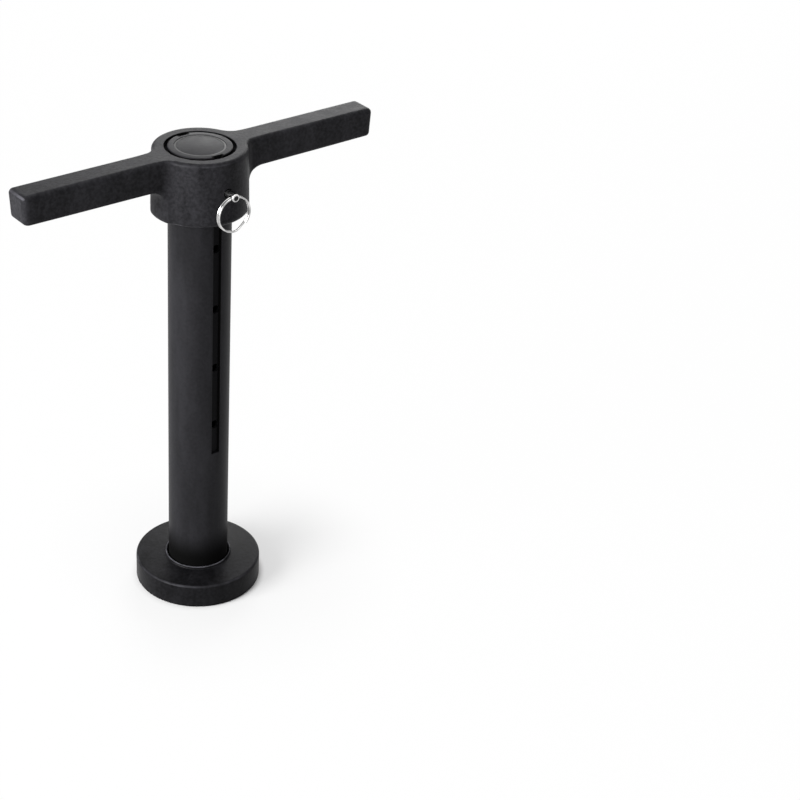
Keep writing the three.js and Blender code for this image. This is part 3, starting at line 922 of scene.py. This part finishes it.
WASHER_RADIUS = 12.0
WASHER_TOP = 7.3
WASHER_THICKNESS = 1.6
WASHER_ROUND = 0.25
washer_bottom = WASHER_TOP - WASHER_THICKNESS
washer = turned("washer", [
    (BOLT_CLEARANCE, washer_bottom),
    *corner(WASHER_RADIUS - WASHER_ROUND, washer_bottom + WASHER_ROUND, WASHER_ROUND, -1, 0, steps=3),
    *corner(WASHER_RADIUS - WASHER_ROUND, WASHER_TOP - WASHER_ROUND, WASHER_ROUND, 0, 1, steps=3),
    (BOLT_CLEARANCE, WASHER_TOP),
], zinc, SMALL_STEPS)
settle(washer, "post", "zinc_steel", "base_washer")

BOLT_RADIUS = 6.0
BOLT_HEAD_RADIUS = 9.0
BOLT_HEAD_TOP = 5.4
BOLT_HEAD_BOTTOM = 1.0
BOLT_END = 29.4
BOLT_ROUND = 0.6
HEX_RADIUS = 3.8
HEX_DEPTH = 2.8
HEX_SIDES = 6
bolt = turned("bolt", [
    (0, BOLT_HEAD_BOTTOM),
    *corner(BOLT_HEAD_RADIUS - BOLT_ROUND, BOLT_HEAD_BOTTOM + BOLT_ROUND, BOLT_ROUND, -1, 0, steps=4),
    (BOLT_HEAD_RADIUS, BOLT_HEAD_TOP),
    (BOLT_RADIUS, BOLT_HEAD_TOP),
    (BOLT_RADIUS, BOLT_END - BOLT_ROUND),
    (BOLT_RADIUS - BOLT_ROUND, BOLT_END),
    (0, BOLT_END),
], zinc, SMALL_STEPS)
drill(bolt, zinc, (0, 0, BOLT_HEAD_BOTTOM), NO_TURN, HEX_RADIUS, 2 * HEX_DEPTH, HEX_SIDES)
settle(bolt, "post", "zinc_steel", "base_bolt")

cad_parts["foot_plug"].material_slots[0].material = zinc

# %% [markdown]
# A moulded plug closes the top of the post, and a thin coated disc lies in its recess with a hairline gap
# round it. Both are turned. The disc's edge and the plug's rim have small rounds, which catch the fine
# bright line that runs round the disc.

# %% Turn the top plug and its disc
PLUG_RADIUS = 18.95
PLUG_TOP = 380.75
PLUG_LENGTH = 16.0
PLUG_WALL = 3.0
DISC_RADIUS = 17.55
DISC_GAP = 0.07
DISC_RECESS = 1.3
DISC_THICKNESS = 0.95
DISC_ROUND = 0.15
plug_bottom = PLUG_TOP - PLUG_LENGTH
recess_floor = PLUG_TOP - DISC_RECESS
disc_bottom = recess_floor + SEAT_GAP

plug = turned("plug", [
    (0, recess_floor - PLUG_WALL),
    (PLUG_RADIUS - PLUG_WALL, recess_floor - PLUG_WALL),
    (PLUG_RADIUS - PLUG_WALL, plug_bottom),
    (PLUG_RADIUS - DISC_ROUND, plug_bottom),
    (PLUG_RADIUS, plug_bottom + DISC_ROUND),
    *corner(PLUG_RADIUS - DISC_ROUND, PLUG_TOP - DISC_ROUND, DISC_ROUND, 0, 1, steps=5),
    (DISC_RADIUS + DISC_GAP, PLUG_TOP),
    (DISC_RADIUS + DISC_GAP, recess_floor),
    (0, recess_floor),
], top_plastic)
settle(plug, "post", "top_plastic", "top_plug")

disc = turned("disc", [
    (0, disc_bottom),
    (DISC_RADIUS, disc_bottom),
    *corner(DISC_RADIUS - DISC_ROUND, disc_bottom + DISC_THICKNESS - DISC_ROUND, DISC_ROUND, 0, 1, steps=5),
    (0, disc_bottom + DISC_THICKNESS),
], disc_coat)
settle(disc, "post", "disc_coat", "top_disc")

# %% [markdown]
# The handle is one casting: a drafted hub and two bars that flow into it, with small fillets beside them
# and large ones underneath, which run down the hub's wall as webs. Modelling such blends face by face is
# slow work, and a bevel fails where fillets of two sizes meet. The shape has a rule, though. A distance is
# written for the hub and for the bar, the two are joined with a formula that leaves a fillet, and a
# geometry tree fills a volume with the result and wraps a mesh round it. The sizes of the bars change along
# their length.

# %% Helpers: join and meet two distances with a round
def filleted_join(first, second, radius):
    """The union of two shapes, with a concave fillet where they meet."""
    near_first = (radius - first).most(0.0)
    near_second = (radius - second).most(0.0)
    return first.least(second).most(radius) - near_first.hypotenuse(near_second)


def rounded_meet(first, second, radius):
    """What two shapes have in common, with a convex round along their edge."""
    past_first = (first + radius).most(0.0)
    past_second = (second + radius).most(0.0)
    return first.most(second).least(-radius) + past_first.hypotenuse(past_second)


# %% Geometry tree: the blank of the casting
CASTING_SIZES = {
    "Hub radius": 36.5, "Hub draft": 1.1, "Hub top": 380.7, "Hub bottom": 330.9, "Hub foot round": 4.0,
    "Hub top round": 3.0, "Arm reach": 152.2, "Arm start": 37.8, "Root half width": 11.0,
    "Tip half width": 11.4, "Root depth": 23.2, "Tip depth": 22.2, "Tip draft": 1.4, "Side fillet": 6.0,
    "Under fillet": 14.0, "Arm top round": 3.8, "Under round": 2.6, "Tip round": 4.2, "Voxel": 0.75,
}
MARGIN_VOXELS = 3.0


def casting_distance(tree, size):
    """Distance from the casting's surface at each point of space, negative inside."""
    x, y, z = apart(tree, tree.nodes.new("GeometryNodeInputPosition").outputs[0])
    along = x.size()
    share = ((along - size["Arm start"]) / (size["Arm reach"] - size["Arm start"])).most(0.0)
    half_width = size["Root half width"] + (size["Tip half width"] - size["Root half width"]) * share
    depth = size["Root depth"] + (size["Tip depth"] - size["Root depth"]) * share
    drop = size["Hub top"] - z
    height = size["Hub top"] - size["Hub bottom"]
    wall = x.hypotenuse(y) - size["Hub radius"] + size["Hub draft"] * (1.0 - drop / height)
    end = along - size["Arm reach"] + size["Tip draft"] * (drop / depth)
    plan = rounded_meet(y.size() - half_width, end, size["Tip round"])
    underside = filleted_join(wall, drop - depth, size["Under fillet"])
    arm = rounded_meet(plan, underside, size["Under round"])
    past_hub = eased(tree, along, size["Hub radius"], size["Hub radius"] + size["Under fillet"])
    top_round = size["Hub top round"] + (size["Arm top round"] - size["Hub top round"]) * past_hub
    joined = filleted_join(wall, arm, size["Side fillet"])
    standing = rounded_meet(joined, size["Hub bottom"] - z, size["Hub foot round"])
    return rounded_meet(standing, -drop, top_round)


def make_casting_blank():
    inputs = {label: number * MM for label, number in CASTING_SIZES.items()}
    inputs["Material"] = ("Material", None)
    tree, size, output = start_tree("casting blank", "GeometryNodeTree", inputs, {"Casting": "Geometry"})
    margin = size["Voxel"] * MARGIN_VOXELS
    reach = size["Arm reach"] + margin
    side = size["Hub radius"] + margin
    bottom = size["Hub bottom"] - margin
    top = size["Hub top"] + margin
    volume = add_node(tree, "GeometryNodeVolumeCube", {
        "Density": -casting_distance(tree, size), "Background": -1.0,
        "Min": together(tree, -reach, -side, bottom), "Max": together(tree, reach, side, top),
        "Resolution X": reach * 2.0 / size["Voxel"], "Resolution Y": side * 2.0 / size["Voxel"],
        "Resolution Z": (top - bottom) / size["Voxel"],
    })
    skin = add_node(tree, "GeometryNodeVolumeToMesh", {"Volume": volume.outputs[0], "Threshold": 0.0})
    return end_tree(tree, output, skin.outputs[0], size["Material"])


# %% Grow the blank
casting = new_piece("casting", bmesh.new())
run_tree(casting, make_casting_blank(), {"Material": cast_coat})
print("faces on the blank:", len(casting.data.polygons))

# %% [markdown]
# The hub is bored after it is cast, and two keys are left standing in the bore to run in the post's
# grooves. The tool for that cut is a turned reamer, wider at the mouth, with the keys taken out of it. One
# boolean with a crisp turned tool gives a crisp bore in the soft casting. The pin's hole and the pocket
# behind it are drilled with the same tree as the post's holes.

# %% Helper: take one piece away from another
def cut_away(made, tool):
    """Cuts the tool's shape out of a piece and deletes the tool."""
    modifier = made.modifiers.new("cut", "BOOLEAN")
    modifier.operation = "DIFFERENCE"
    modifier.solver = "MANIFOLD"
    modifier.object = tool
    keep_result(made)
    bpy.data.objects.remove(tool)


def block(name, low, high):
    """A plain cutting block between two corners, in millimetres."""
    builder = bmesh.new()
    bmesh.ops.create_cube(builder, size=1.0)
    low, high = Vector(low) * MM, Vector(high) * MM
    for vert in builder.verts:
        vert.co = Vector((low[i] + (high[i] - low[i]) * (vert.co[i] + 0.5) for i in range(3)))
    return new_piece(name, builder)


# %% Bore the hub round its keys, and drill it for the pin
HUB_TOP = CASTING_SIZES["Hub top"]
HUB_BOTTOM = CASTING_SIZES["Hub bottom"]
HUB_BORE = 24.25
MOUTH_RADIUS = 26.5
MOUTH_DEPTH = 7.0
MOUTH_ROUND = 0.3
FOOT_CHAMFER = 1.0
KEY_HALF = 3.2
KEY_TIP = 21.7
KEY_TOP_RECESS = 6.0
KEY_FOOT_RECESS = 1.8
KEY_BLOCK_END = 40.0
HUB_POCKET_RADIUS = 5.0
PIN_HOLE_RADIUS = 3.625
PIN_HOLE_MIDDLE = HUB_BORE + 5.0
PIN_HOLE_LENGTH = 40.0
CLEAR = 4.0

mouth_slope = HUB_TOP - MOUTH_DEPTH + MOUTH_RADIUS - HUB_BORE
reamer = turned("reamer", [
    (0, HUB_BOTTOM - CLEAR),
    (HUB_BORE + FOOT_CHAMFER + CLEAR, HUB_BOTTOM - CLEAR),
    (HUB_BORE, HUB_BOTTOM + FOOT_CHAMFER),
    (HUB_BORE, HUB_TOP - MOUTH_DEPTH),
    (MOUTH_RADIUS, mouth_slope),
    *corner(MOUTH_RADIUS + MOUTH_ROUND, HUB_TOP - MOUTH_ROUND, MOUTH_ROUND, 2, 1, steps=5),
    (MOUTH_RADIUS + MOUTH_ROUND, HUB_TOP + CLEAR),
    (0, HUB_TOP + CLEAR),
])
for side in (-1, 1):
    front, back = sorted((side * KEY_TIP, side * KEY_BLOCK_END))
    low = (-KEY_HALF, front, HUB_BOTTOM + KEY_FOOT_RECESS)
    high = (KEY_HALF, back, HUB_TOP - KEY_TOP_RECESS)
    cut_away(reamer, block("key", low, high))
cut_away(casting, reamer)

drill(casting, cast_coat, (0, 0, TOP_HOLE), ALONG_Y, HUB_POCKET_RADIUS, 2 * HUB_BORE)
drill(casting, cast_coat, (0, -PIN_HOLE_MIDDLE, TOP_HOLE), ALONG_Y, PIN_HOLE_RADIUS, PIN_HOLE_LENGTH)
settle(casting, "handle", "black_coat", "handle_casting")

# %% [markdown]
# The locking pin is a plain bright rod with a rounded head. It is turned upright, laid along Y, and drilled
# twice: across its head for the ring, and upwards near its nose for the sprung ball. The ball is a turned
# half circle, as fine as its size needs.

# %% Turn and drill the locking pin and its ball
PIN_RADIUS = 3.175
PIN_NOSE = 21.5
PIN_END = 46.0
NOSE_CHAMFER = 0.5
HEAD_ROUND = 0.9
EYE_PLACE = 43.1
EYE_RADIUS = 2.0
EYE_LENGTH = 12.0
BALL_PLACE = 23.2
BALL_RADIUS = 0.9
BALL_HOLE_RADIUS = 1.2
BALL_RISE = 2.645
BALL_HOLE_BOTTOM = -0.755
DRILL_OVERRUN = 1.0

pin = turned("pin", [
    (0, PIN_NOSE),
    (PIN_RADIUS - NOSE_CHAMFER, PIN_NOSE),
    (PIN_RADIUS, PIN_NOSE + NOSE_CHAMFER),
    *corner(PIN_RADIUS - HEAD_ROUND, PIN_END - HEAD_ROUND, HEAD_ROUND, 0, 1),
    (0, PIN_END),
], bright_steel, SMALL_STEPS)
move(pin, (0, 0, TOP_HOLE), ALONG_Y)
drill(pin, bright_steel, (0, -EYE_PLACE, TOP_HOLE), ALONG_X, EYE_RADIUS, EYE_LENGTH, TINY_STEPS)
ball_hole_length = 2 * (PIN_RADIUS + DRILL_OVERRUN)
ball_hole_place = (0, -BALL_PLACE, TOP_HOLE + BALL_HOLE_BOTTOM + ball_hole_length / 2)
drill(pin, bright_steel, ball_hole_place, NO_TURN, BALL_HOLE_RADIUS, ball_hole_length, TINY_STEPS)
settle(pin, "lock_pin", "bright_steel", "lock_pin")

half_circle = corner(0, 0, BALL_RADIUS, -1, 1, steps=24)
half_circle[0], half_circle[-1] = (0, -BALL_RADIUS), (0, BALL_RADIUS)
ball = turned("ball", half_circle, bright_steel, TINY_STEPS)
move(ball, (0, -BALL_PLACE, TOP_HOLE + BALL_RISE))
settle(ball, "detent_ball", "bright_steel", "detent_ball")

# %% [markdown]
# The split ring and the ball's spring are both wound wire, so one geometry tree winds both. A point's angle
# grows along the wire. It climbs by an even rise, as a spring does, and once by a step, as a split ring
# does where it crosses over at its crank. Curve to Mesh sweeps a round section along it, a little thinner
# at the very ends, as the cut ends of a wire are dressed.

# %% Geometry tree: wound wire
WIRE_END_SHARE = 0.7


def make_wound_wire():
    inputs = {
        "Radius": 10 * MM, "Wire radius": 0.7 * MM, "Start": 0.0, "Sweep": math.tau, "Rise": 0.0,
        "Step": 0.0, "Crank start": 1.0, "Crank end": 2.0, "Points": ("Int", 200), "Sides": ("Int", 20),
        "Material": ("Material", None),
    }
    tree, value, output = start_tree("wound wire", "GeometryNodeTree", inputs, {"Wire": "Geometry"})
    line = add_node(tree, "GeometryNodeMeshLine", {"Count": value["Points"]})
    curve = add_node(tree, "GeometryNodeMeshToCurve", {"Mesh": line.outputs[0]})
    index = Value(tree, tree.nodes.new("GeometryNodeInputIndex").outputs[0])
    last = value["Points"] - 1.0
    swept = value["Sweep"] * (index / last)
    crossed = eased(tree, swept, value["Crank start"], value["Crank end"])
    angle = value["Start"] + swept
    place = together(
        tree, value["Radius"] * angle.math("COSINE"), value["Radius"] * angle.math("SINE"),
        value["Rise"] * (swept / math.tau) + value["Step"] * (crossed - 0.5),
    )
    wound = add_node(tree, "GeometryNodeSetPosition", {"Geometry": curve.outputs[0], "Position": place})
    section = add_node(tree, "GeometryNodeCurvePrimitiveCircle", {
        "Resolution": value["Sides"], "Radius": value["Wire radius"],
    })
    from_end = index.least(last - index)
    dressed = from_end.least(1.0) * (1.0 - WIRE_END_SHARE) + WIRE_END_SHARE
    swept_wire = add_node(tree, "GeometryNodeCurveToMesh", {
        "Curve": wound.outputs[0], "Profile Curve": section.outputs[0], "Scale": dressed, "Fill Caps": True,
    })
    return end_tree(tree, output, swept_wire.outputs[0], value["Material"])


wound_wire = make_wound_wire()

# %% Wind the split ring and hang it in the pin's eye
RING_RADIUS = 13.45
RING_WIRE = 0.75
RING_TURN_PITCH = 1.92
RING_START = 318
RING_FIRST_TURN = 312
RING_CRANK = 40
RING_SECOND_TURN = 312
RING_POINTS = 260

ring = new_piece("ring", bmesh.new())
run_tree(ring, wound_wire, {
    "Radius": RING_RADIUS * MM, "Wire radius": RING_WIRE * MM, "Start": math.radians(RING_START),
    "Sweep": math.radians(RING_FIRST_TURN + RING_CRANK + RING_SECOND_TURN), "Step": -RING_TURN_PITCH * MM,
    "Crank start": math.radians(RING_FIRST_TURN), "Crank end": math.radians(RING_FIRST_TURN + RING_CRANK),
    "Points": RING_POINTS, "Material": bright_steel,
})
move(ring, (0, -EYE_PLACE, TOP_HOLE - RING_RADIUS), ALONG_Y)
settle(ring, "pull_ring", "bright_steel", "pull_ring")

# %% Wind the ball's spring
SPRING_RADIUS = 0.7
SPRING_WIRE = 0.15
SPRING_TURNS = 2
SPRING_BOTTOM = -0.455
SPRING_LENGTH = 1.9
SPRING_POINTS = 96
SPRING_SIDES = 12

spring = new_piece("spring", bmesh.new())
run_tree(spring, wound_wire, {
    "Radius": SPRING_RADIUS * MM, "Wire radius": SPRING_WIRE * MM, "Sweep": SPRING_TURNS * math.tau,
    "Rise": (SPRING_LENGTH - 2 * SPRING_WIRE) / SPRING_TURNS * MM, "Points": SPRING_POINTS,
    "Sides": SPRING_SIDES, "Material": zinc,
})
move(spring, (0, -BALL_PLACE, TOP_HOLE + SPRING_BOTTOM + SPRING_WIRE))
settle(spring, "lock_pin", "zinc_steel", "detent_spring")
